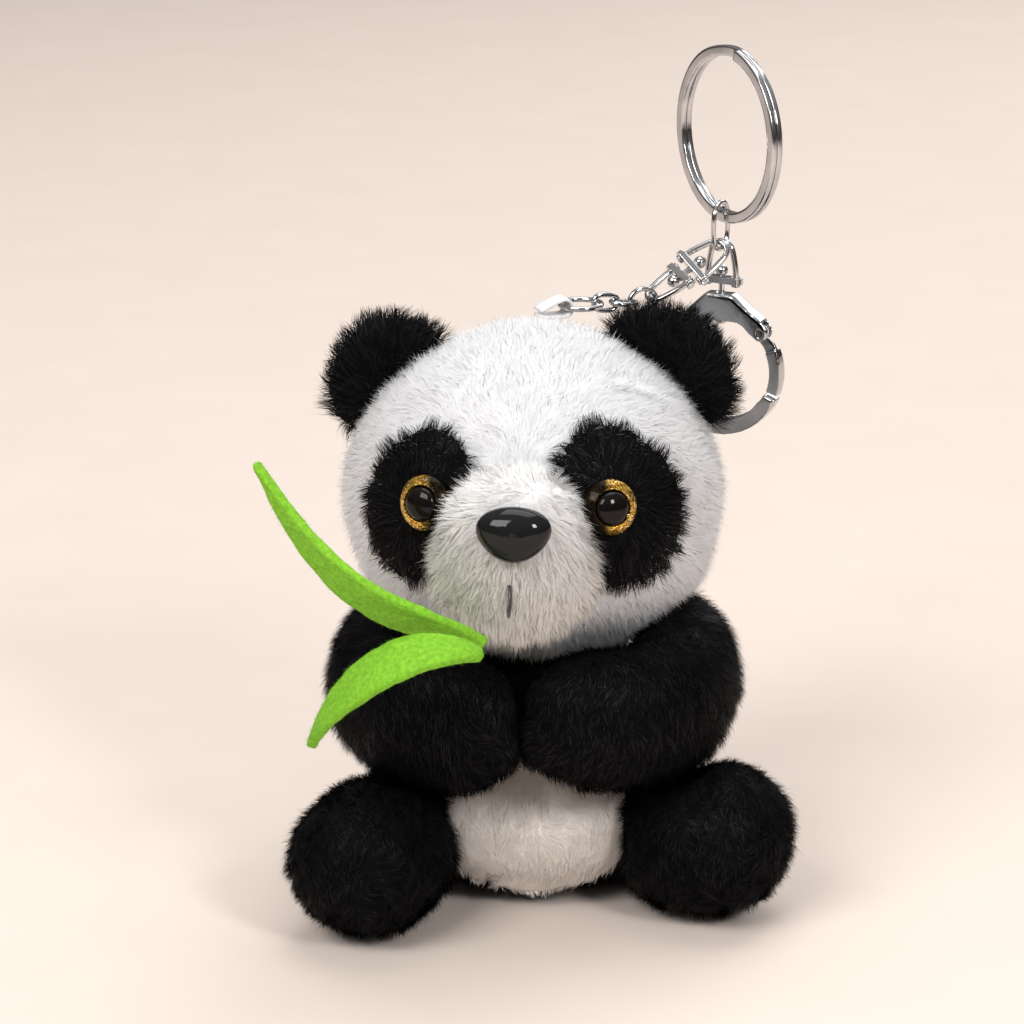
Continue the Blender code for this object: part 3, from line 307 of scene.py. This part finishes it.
def from_nodes(name, nodes, keep=None):
    """A new object from CAD nodes: points merged, triangles paired. keep(centre, normal) picks faces."""
    bm = bmesh.new()
    for node in nodes:
        bm.from_mesh(frame["nodes"][node].data)
    bmesh.ops.remove_doubles(bm, verts=bm.verts, dist=2e-6)
    if keep:
        doomed = [f for f in bm.faces if not keep(f.calc_center_median(), f.normal)]
        bmesh.ops.delete(bm, geom=doomed, context="FACES")
        bmesh.ops.holes_fill(bm, edges=[e for e in bm.edges if e.is_boundary], sides=0)
    bmesh.ops.join_triangles(bm, faces=bm.faces, cmp_seam=False, cmp_sharp=False, cmp_uvs=False,
                             cmp_vcols=False, cmp_materials=False, angle_face_threshold=0.5,
                             angle_shape_threshold=1.2)
    mesh = bpy.data.meshes.new(name)
    bm.to_mesh(mesh)
    bm.free()
    made = bpy.data.objects.new(name, mesh)
    bpy.context.collection.objects.link(made)
    return made


def apply_modifiers(piece):
    graph = bpy.context.evaluated_depsgraph_get()
    graph.update()
    mesh = bpy.data.meshes.new_from_object(piece.evaluated_get(graph), depsgraph=graph)
    piece.modifiers.clear()
    piece.data = mesh
    mesh.name = piece.name
    mesh.shade_smooth()


def points_of(piece):
    co = np.empty(len(piece.data.vertices) * 3)
    piece.data.vertices.foreach_get("co", co)
    return co.reshape(-1, 3)


def normals_of(piece):
    normals = np.empty(len(piece.data.vertices) * 3)
    piece.data.vertices.foreach_get("normal", normals)
    return normals.reshape(-1, 3)


def set_points(piece, co):
    piece.data.vertices.foreach_set("co", np.ascontiguousarray(co).ravel())
    piece.data.update()


def add_modifier(piece, kind, **values):
    modifier = piece.modifiers.new(kind.lower(), kind)
    for key, value in values.items():
        setattr(modifier, key, value)
    return modifier


def finish_piece(piece, nodes, slot=None, material=None):
    slot = slot or SLOT_OF[nodes[0]]
    piece.data.materials.clear()
    piece.data.materials.append(material or MATERIALS[slot])
    piece.data.shade_smooth()
    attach(piece, BODY_OF[nodes[0]])
    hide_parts(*nodes)
    return piece


def waves(points, wavelength, seed, count=5):
    """Smooth vector noise at points, about -1 to 1 in each direction."""
    rng = np.random.default_rng(seed)
    field = np.zeros((len(points), 3))
    for _ in range(count):
        direction = rng.normal(size=3)
        direction /= np.linalg.norm(direction)
        phase = rng.uniform(0, 2 * math.pi, 3)
        stretch = rng.uniform(0.7, 1.4)
        turn = points @ direction * (2 * math.pi / (wavelength * stretch))
        field += np.sin(turn[:, None] + phase)
    return field / math.sqrt(count)


def unit(vectors):
    return vectors / np.maximum(np.linalg.norm(vectors, axis=1), 1e-12)[:, None]


# ---- Stuffed plush ----


def swell(piece, shrink, cap):
    """Blows the pad up as cloth from a slightly smaller shape, and caps how far each point moves."""
    start = points_of(piece)
    set_points(piece, start - normals_of(piece) * shrink)
    cloth = piece.modifiers.new("swell", "CLOTH")
    settings = cloth.settings
    settings.quality = 4
    settings.mass = 0.3
    settings.use_pressure = True
    settings.uniform_pressure_force = SWELL_PRESSURE
    settings.effector_weights.gravity = 0
    scene = bpy.context.scene
    scene.frame_start, scene.frame_end = 1, SWELL_STEPS
    for step in range(1, SWELL_STEPS + 1):
        scene.frame_set(step)
    apply_modifiers(piece)
    scene.frame_set(1)
    moved = points_of(piece) - start
    reach = np.linalg.norm(moved, axis=1)
    moved *= np.minimum(1.0, cap / np.maximum(reach, 1e-9))[:, None]
    set_points(piece, start + moved)


def stuffed(name, nodes, voxel, cap, keep=None, lumps=0.25 * MM, floor=False):
    """A stuffed piece from a plain CAD solid: remeshed, blown up, smoothed and a little lumpy."""
    piece = from_nodes(name, nodes, keep)
    add_modifier(piece, "REMESH", mode="VOXEL", voxel_size=voxel)
    apply_modifiers(piece)
    swell(piece, 0.5 * MM, cap)
    add_modifier(piece, "SMOOTH", factor=0.5, iterations=3)
    add_modifier(piece, "SUBSURF", levels=1, render_levels=1)
    apply_modifiers(piece)
    co = points_of(piece)
    co = co + normals_of(piece) * waves(co, 14 * MM, 5)[:, :1] * lumps
    if floor:
        co[:, 2] = np.maximum(co[:, 2], 0.3 * MM)
    set_points(piece, co)
    finish_piece(piece, nodes)
    return piece


def press_on(piece, other, reach):
    """Draws the points that lie near a neighbour onto it, as soft pieces that touch one another do."""
    co = points_of(piece)
    for index, place in enumerate(co.tolist()):
        hit = other.find_nearest(place, reach)
        if hit[0] is not None:
            co[index] += (np.array(hit[0]) - co[index]) * (1 - (hit[3] / reach) ** 2)
    set_points(piece, co)


def widen_muzzle(muzzle):
    """The muzzle is fullest at the height of the nose, where it reaches over the eye patches."""
    co = points_of(muzzle)
    rise = ((co[:, 2] - NOSE[2] + 8 * MM) / (8 * MM)).clip(0, 1)
    co[:, 0] += (co[:, 0] - middle("muzzle")[0]) * 0.12 * rise
    set_points(muzzle, co)


def outer_of_head(centre, normal):
    return normal.dot(centre - Vector(HEAD)) > 0


def outer_of_torso(centre, normal):
    if centre.z < 0.5 * MM and normal.z < -0.5:
        return True
    return normal.x * centre.x + normal.y * centre.y > 1e-6


# ---- Pile ----


def surface_samples(piece, per_mm2, rng):
    """Evenly random points on the piece: place, normal."""
    mesh = piece.data
    mesh.calc_loop_triangles()
    corners = np.empty(len(mesh.loop_triangles) * 3, dtype=np.int64)
    mesh.loop_triangles.foreach_get("vertices", corners)
    corners = corners.reshape(-1, 3)
    co, normals = points_of(piece), normals_of(piece)
    a, b, c = co[corners[:, 0]], co[corners[:, 1]], co[corners[:, 2]]
    area = np.linalg.norm(np.cross(b - a, c - a), axis=1) / 2
    count = int(area.sum() * 1e6 * per_mm2)
    share = np.cumsum(area) / area.sum()
    picked = np.searchsorted(share, (np.arange(count) + rng.random(count)) / count)
    picked = np.minimum(picked, len(corners) - 1)
    u, v = rng.random(count), rng.random(count)
    flip = u + v > 1
    u[flip], v[flip] = 1 - u[flip], 1 - v[flip]
    weights = np.stack([1 - u - v, u, v], axis=1)[:, :, None]
    tri = corners[picked]
    return (co[tri] * weights).sum(axis=1), unit((normals[tri] * weights).sum(axis=1))


def tree_of(thing):
    mesh = thing.data
    mesh.calc_loop_triangles()
    corners = np.empty(len(mesh.loop_triangles) * 3, dtype=np.int64)
    mesh.loop_triangles.foreach_get("vertices", corners)
    return BVHTree.FromPolygons([Vector(p) for p in points_of(thing)], corners.reshape(-1, 3).tolist())


def gap_to(places, tree, limit):
    """Distance from each place to a surface, capped at limit."""
    found = np.full(len(places), limit)
    for index, place in enumerate(places.tolist()):
        hit = tree.find_nearest(place, limit)
        if hit[0] is not None:
            found[index] = hit[3]
    return found


def pile(name, piece, per_mm2, length, width, comb, shades, seed, lean=0.6, spread=0.25, curl=0.35,
         clump=0.0, clump_every=18, keep=None, clear=(), round_off=1.0, steps=2, tint=None):
    """Pile as fine tapered strands on a piece. comb(places, normals) is the way that it lies."""
    rng = np.random.default_rng(seed)
    places, normals = surface_samples(piece, per_mm2, rng)
    mask = np.ones(len(places), dtype=bool) if keep is None else keep(places, normals)
    places, normals = places[mask], normals[mask]
    for tree, gap in clear:
        mask = gap_to(places, tree, gap) >= gap
        places, normals = places[mask], normals[mask]
    count = len(places)
    lay = (comb(places, normals) + waves(places, 9 * MM, seed + 1) * 0.35
           + waves(places, 3 * MM, seed + 2) * 0.25)
    lay -= normals * (lay * normals).sum(axis=1)[:, None]
    lay = unit(lay)
    tilt = lean * (1 + 0.25 * rng.normal(size=count))[:, None]
    along = unit(normals * (1 - tilt) + lay * tilt + rng.normal(size=(count, 3)) * spread)
    dip = (along * normals).sum(axis=1)
    along = unit(along + normals * np.maximum(0, 0.12 - dip)[:, None])
    reach = length * (1 + 0.22 * rng.normal(size=count)).clip(0.45, 1.7)[:, None]
    bend = unit(lay * 0.9 + along * 0.4 - np.array([0, 0, 0.25]) + rng.normal(size=(count, 3)) * 0.3)
    root = places - normals * 0.25 * MM
    lines = [root]
    for step in range(1, steps + 1):
        t = step / steps
        lines.append(root + reach * (along * t + (bend - along) * curl * t * t))
    if clump:
        heads = rng.choice(count, max(8, count // clump_every), replace=False)
        finder = kdtree.KDTree(len(heads))
        for index, head in enumerate(heads):
            finder.insert(places[head], index)
        finder.balance()
        nearest = np.array([finder.find(p)[1] for p in places.tolist()])
        goal = lines[-1][heads[nearest]]
        for step in range(1, steps + 1):
            pull = clump * (step / steps) ** 1.6
            lines[step] = lines[step] * (1 - pull) + goal * pull
    side = unit(np.cross(along, normals + rng.normal(size=(count, 3)) * 0.15))
    flat = unit(np.cross(side, along))
    flat *= np.sign((flat * normals).sum(axis=1) + 1e-9)[:, None]
    facing = np.abs((flat * normals).sum(axis=1)).clip(0.35, 1)[:, None]
    columns = []
    for step in range(steps):
        wide = width * facing * (1 - 0.75 * (step / steps) ** 1.5) / 2
        columns += [lines[step] - side * wide, lines[step] + side * wide]
    columns.append(lines[-1])
    co = np.stack(columns, axis=1)
    co[:, :, 2] = np.maximum(co[:, :, 2], LOWEST_STRAND)
    quads = []
    for step in range(steps - 1):
        quads += [2 * step, 2 * step + 1, 2 * step + 3, 2 * step + 2]
    loops = np.array(quads + [2 * steps - 2, 2 * steps - 1, 2 * steps])
    sizes = np.array([4] * (steps - 1) + [3])
    starts = np.concatenate([[0], np.cumsum(sizes)[:-1]])
    tone = rng.random(count)
    if tint:
        tone = np.clip(tone + tint(places), 0, 1)
    shade = np.where(tone < 0.4, 0, np.where(tone < 0.78, min(1, len(shades) - 1), len(shades) - 1))
    soft = unit(normals * round_off + flat * (1 - round_off))
    parts = max(1, math.ceil(count / STRANDS_PER_PIECE))
    for part in range(parts):
        chosen = slice(part * count // parts, (part + 1) * count // parts)
        title = name if parts == 1 else f"{name}_{part + 1}"
        strand_mesh(title, co[chosen], soft[chosen], shade[chosen], loops, sizes, starts, shades)


def strand_mesh(name, co, soft, shade, loops, sizes, starts, shades):
    count, per = co.shape[:2]
    offset = np.arange(count)[:, None]
    mesh = bpy.data.meshes.new(name)
    mesh.vertices.add(count * per)
    mesh.vertices.foreach_set("co", co.ravel())
    mesh.loops.add(count * len(loops))
    mesh.loops.foreach_set("vertex_index", (loops[None, :] + offset * per).ravel().astype(np.int32))
    mesh.polygons.add(count * len(sizes))
    mesh.polygons.foreach_set("loop_start", (starts[None, :] + offset * len(loops)).ravel().astype(np.int32))
    mesh.polygons.foreach_set("material_index", np.repeat(shade, len(sizes)).astype(np.int32))
    for material in shades:
        mesh.materials.append(material)
    mesh.update(calc_edges=True)
    mesh.shade_smooth()
    mesh.normals_split_custom_set_from_vertices(np.repeat(soft, per, axis=0))
    made = bpy.data.objects.new(name, mesh)
    bpy.context.collection.objects.link(made)
    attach(made, "plush")


def away_from(centre, down=0.0):
    """Pile that lies away from a point, and a little downwards."""

    def comb(places, normals):
        return unit(places - np.array(centre)) - np.array([0, 0, down])

    return comb


def flowing(direction, wander=0.0):
    def comb(places, normals):
        straight = np.tile(np.array(direction, dtype=float), (len(places), 1))
        return straight + waves(places, 20 * MM, 3) * wander

    return comb


# ---- The panda ----


def make_panda():
    head = stuffed("head_stuffed", ["head_skin", "head_filling"], 3.2 * MM, 0.9 * MM,
                   keep=outer_of_head)
    torso = stuffed("body_stuffed", ["body_skin", "body_filling"], 3.2 * MM, 0.9 * MM,
                    keep=outer_of_torso, floor=True)
    muzzle = stuffed("muzzle_stuffed", ["muzzle"], 1.6 * MM, 0.8 * MM, lumps=0.15 * MM)
    widen_muzzle(muzzle)
    limbs = {}
    for side in SIDES:
        limbs["arm_" + side] = stuffed("arm_stuffed_" + side, ["arm_" + side], 2.2 * MM, 1.0 * MM)
        limbs["leg_" + side] = stuffed("leg_stuffed_" + side, ["leg_" + side], 2.4 * MM, 1.0 * MM,
                                       floor=True)
        limbs["ear_" + side] = stuffed("ear_stuffed_" + side, ["ear_" + side], 1.6 * MM, 0.6 * MM)
    belly = stuffed("belly_plush", ["belly_panel"], 0.8 * MM, 0.4 * MM, lumps=0.1 * MM)
    patches = {}
    for side in SIDES:
        patches[side] = stuffed("patch_plush_" + side, ["eye_patch_" + side], 0.6 * MM, 0.2 * MM,
                                lumps=0.05 * MM)
    skull, trunk = tree_of(head), tree_of(torso)
    for side in SIDES:
        press_on(limbs["ear_" + side], skull, 3.5 * MM)
        press_on(limbs["arm_" + side], skull, 5.0 * MM)
        press_on(limbs["arm_" + side], trunk, 4.0 * MM)
        press_on(limbs["leg_" + side], trunk, 5.0 * MM)
    press_on(limbs["arm_right_viewer"], tree_of(limbs["arm_left_viewer"]), 4.5 * MM)
    return head, torso, muzzle, limbs, belly, patches


def cover_panda(head, torso, muzzle, limbs, belly, patches):
    tree = {n: tree_of(p) for n, p in limbs.items()}
    tree["muzzle"] = tree_of(muzzle)
    tree["belly"] = tree_of(belly)
    tree["torso"] = tree_of(torso)
    tree["head"] = tree_of(head)
    eyes = []
    for side, patch in patches.items():
        tree["patch_" + side] = tree_of(patch)
        eyes.append((tree_of(frame["nodes"]["glitter_ring_" + side]), 0.5 * MM))
    nose = (tree_of(frame["nodes"]["nose"]), 0.4 * MM)
    mouth = (tree_of(frame["nodes"]["mouth_stitch"]), 0.55 * MM)
    hardware = [(tree_of(frame["nodes"][n]), 1.2 * MM)
                for n in ("jump_ring", "chain_link_1", "chain_link_2", "chain_link_3", "hang_ribbon")]
    ears = [(tree["ear_" + s], 0.35 * MM) for s in SIDES]
    arms = [(tree["arm_" + s], 1.0 * MM) for s in SIDES]
    under_patch = [(tree["patch_" + s], 0.55 * MM) for s in patches]

    pile("head_pile", head, 20.0, 2.5 * MM, 0.15 * MM, away_from(NOSE + np.array([0, 8, 4]) * MM, 0.25),
         WHITE_PILE, 11, lean=0.5, clump=0.12, clump_every=24, spread=0.3,
         keep=lambda p, n: p[:, 2] > HEAD_PILE_FROM,
         clear=ears + under_patch + arms + [(tree["muzzle"], 0.5 * MM)] + hardware)
    pile("muzzle_pile", muzzle, 22.0, 3.5 * MM, 0.14 * MM, away_from(NOSE + np.array([0, 2, 0]) * MM, 0.35),
         MUZZLE_PILE, 12, lean=0.48, clump=0.4, clump_every=40, curl=0.4, spread=0.35,
         keep=lambda p, n: p[:, 1] < middle("muzzle")[1] + 6 * MM,
         tint=lambda p: ((NOSE[2] - p[:, 2]) / (12 * MM)).clip(-0.4, 0.6),
         clear=[nose, mouth] + eyes)
    for number, side in enumerate(SIDES):
        centre = middle("eye_patch_" + side)
        pile("patch_pile_" + side, patches[side], 13.0, 2.9 * MM, 0.13 * MM, away_from(centre, 0.1), BLACK_PILE,
             20 + number, lean=0.62, clump=0.5, clump_every=40, spread=0.3,
             keep=lambda p, n: n[:, 1] < 0.35,
             clear=[(tree["muzzle"], 0.4 * MM)] + eyes)
        ear = middle("ear_" + side)
        pile("ear_pile_" + side, limbs["ear_" + side], 12.0, 3.4 * MM, 0.13 * MM,
             away_from(ear - np.array([0, 0, 5]) * MM, -0.1), BLACK_PILE, 30 + number, lean=0.5, clump=0.5,
             clump_every=45, spread=0.3)
        arm = middle("arm_" + side)
        pile("arm_pile_" + side, limbs["arm_" + side], 10.0, 2.5 * MM, 0.14 * MM,
             away_from(arm + np.array([0, 6, 8]) * MM, 0.4), BLACK_PILE, 40 + number, lean=0.6, clump=0.35,
             clump_every=40, clear=[(tree["torso"], 0.9 * MM), (tree["leg_" + side], 0.6 * MM)])
        leg = middle("leg_" + side)
        pile("leg_pile_" + side, limbs["leg_" + side], 10.0, 2.5 * MM, 0.14 * MM,
             away_from(leg + np.array([0, 10, 4]) * MM, 0.2), BLACK_PILE, 50 + number, lean=0.6, clump=0.35,
             clump_every=40, keep=lambda p, n: p[:, 2] > 1.6 * MM,
             clear=[(tree["torso"], 0.9 * MM), (tree["arm_" + side], 0.6 * MM)])
    pile("belly_pile", belly, 18.0, 2.0 * MM, 0.16 * MM, flowing((0, 0, -1), 0.5), CREAM_PILE, 60, lean=0.58,
         clump=0.3, clump_every=40, keep=lambda p, n: (n[:, 1] < 0.2) & (p[:, 2] > FLOOR_GAP),
         clear=[(tree["leg_" + s], 0.8 * MM) for s in SIDES])
    limb_gaps = [(tree[n + s], 0.6 * MM) for n in ("arm_", "leg_") for s in SIDES]
    pile("body_pile", torso, 9.0, 2.4 * MM, 0.14 * MM, flowing((0, 0, -1), 0.4), BLACK_PILE, 61, lean=0.62,
         clump=0.35, clump_every=40, keep=lambda p, n: (p[:, 2] > FLOOR_GAP) & (p[:, 2] < BODY_PILE_TO),
         clear=limb_gaps + [(tree["belly"], 0.7 * MM)])


# ---- Leaves ----


def make_leaf(node, name, number):
    leaf = from_nodes(name, [node])
    bm = bmesh.new()
    bm.from_mesh(leaf.data)
    crease = bm.edges.layers.float.new("crease_edge")
    for edge in bm.edges:
        if len(edge.link_faces) == 2 and edge.calc_face_angle() > 0.8:
            edge[crease] = 0.35
    bm.to_mesh(leaf.data)
    bm.free()
    add_modifier(leaf, "SUBSURF", levels=3, render_levels=3)
    apply_modifiers(leaf)
    co = points_of(leaf)
    co += normals_of(leaf) * waves(co, 5 * MM, 70 + number)[:, :1] * 0.07 * MM
    co += normals_of(leaf) * waves(co, 1.1 * MM, 80 + number)[:, :1] * 0.025 * MM
    set_points(leaf, co)
    finish_piece(leaf, [node])
    pile(name + "_fuzz", leaf, 26.0, 0.8 * MM, 0.06 * MM, flowing((0, 0, 0.1), 1.0), FELT_FUZZ, 90 + number,
         lean=0.72, spread=0.7, curl=0.8, round_off=0.5)


# ---- Eyes, nose, thread and hardware ----


def smooth_copy(node, name, levels=2, crease_from=0.9, crease=0.5, material=None, puff=0.0):
    """A rounder copy of a CAD node, with its corners kept crisp by creases."""
    piece = from_nodes(name, [node])
    bm = bmesh.new()
    bm.from_mesh(piece.data)
    layer = bm.edges.layers.float.new("crease_edge")
    for edge in bm.edges:
        if crease and len(edge.link_faces) == 2 and edge.calc_face_angle() > crease_from:
            edge[layer] = crease
    bm.to_mesh(piece.data)
    bm.free()
    add_modifier(piece, "SUBSURF", levels=levels, render_levels=levels)
    apply_modifiers(piece)
    if puff:
        set_points(piece, points_of(piece) + normals_of(piece) * puff)
    return finish_piece(piece, [node], material=material)


def cast_copy(node, name, voxel, rounds=6):
    """A copy of a CAD node with every edge worn round, as tumbled and plated castings are."""
    piece = from_nodes(name, [node])
    add_modifier(piece, "REMESH", mode="VOXEL", voxel_size=voxel)
    add_modifier(piece, "SMOOTH", factor=0.6, iterations=rounds)
    apply_modifiers(piece)
    return finish_piece(piece, [node])


def resize_round(piece, centre, goal):
    """Gives each point the distance goal(radius) from an front-to-back line through centre."""
    co = points_of(piece)
    radial = co[:, ::2] - centre[::2]
    radius = np.maximum(np.linalg.norm(radial, axis=1), 1e-9)
    co[:, ::2] = centre[::2] + radial * (goal(radius) / radius)[:, None]
    set_points(piece, co)


def make_trim():
    for side in SIDES:
        dome = smooth_copy("eye_" + side, "eye_dome_" + side, crease_from=1.2, crease=0.3, material=BROWN_EYE)
        rim = smooth_copy("glitter_ring_" + side, "glitter_rim_" + side, crease_from=0.45, crease=0.8,
                          material=make_glitter("glitter_ring_" + side))
        centre, outer = middle("glitter_ring_" + side), np.ptp(box("glitter_ring_" + side), axis=0)[2] / 2
        resize_round(dome, centre, lambda radius: radius * 0.94)
        resize_round(rim, centre, lambda radius: outer - (outer - radius) * 1.15)
    smooth_copy("nose", "nose_button", crease_from=1.3, crease=0.2)
    smooth_copy("mouth_stitch", "mouth_thread", crease=0)
    smooth_copy("hang_ribbon", "woven_loop", levels=2, crease=0.85)


def make_hardware():
    for node in ("jump_ring", "chain_link_1", "chain_link_2", "chain_link_3"):
        smooth_copy(node, node + "_wire", crease=0, puff=0.06 * MM)
    smooth_copy("connector_link", "connector_link_wire", crease=0)
    smooth_copy("split_ring", "split_ring_coils", crease=0.6)
    for node in ("swivel_wire_lower", "swivel_wire_upper", "clasp_wire"):
        smooth_copy(node, node + "_bent", crease=0, puff=0.03 * MM)
    for node in ("swivel_rivet", "clasp_rivet"):
        smooth_copy(node, node + "_beads", crease=0, puff=0.04 * MM)
    for node in ("swivel_bar_lower", "swivel_bar_upper", "clasp_bar"):
        cast_copy(node, node + "_stamped", 0.09 * MM, 5)
    cast_copy("clasp_body", "clasp_body_cast", 0.14 * MM, 26)
    cast_copy("clasp_gate", "clasp_gate_cast", 0.1 * MM, 16)


def dress_frame():
    """Gives every CAD node that still shows its own finish."""
    for node, thing in frame["nodes"].items():
        thing.data.materials.clear()
        thing.data.materials.append(MATERIALS[SLOT_OF[node]])


make_stage()
dress_frame()
head, torso, muzzle, limbs, belly, patches = make_panda()
cover_panda(head, torso, muzzle, limbs, belly, patches)
make_leaf("leaf_upper", "felt_leaf_upper", 0)
make_leaf("leaf_lower", "felt_leaf_lower", 1)
make_trim()
make_hardware()

import json
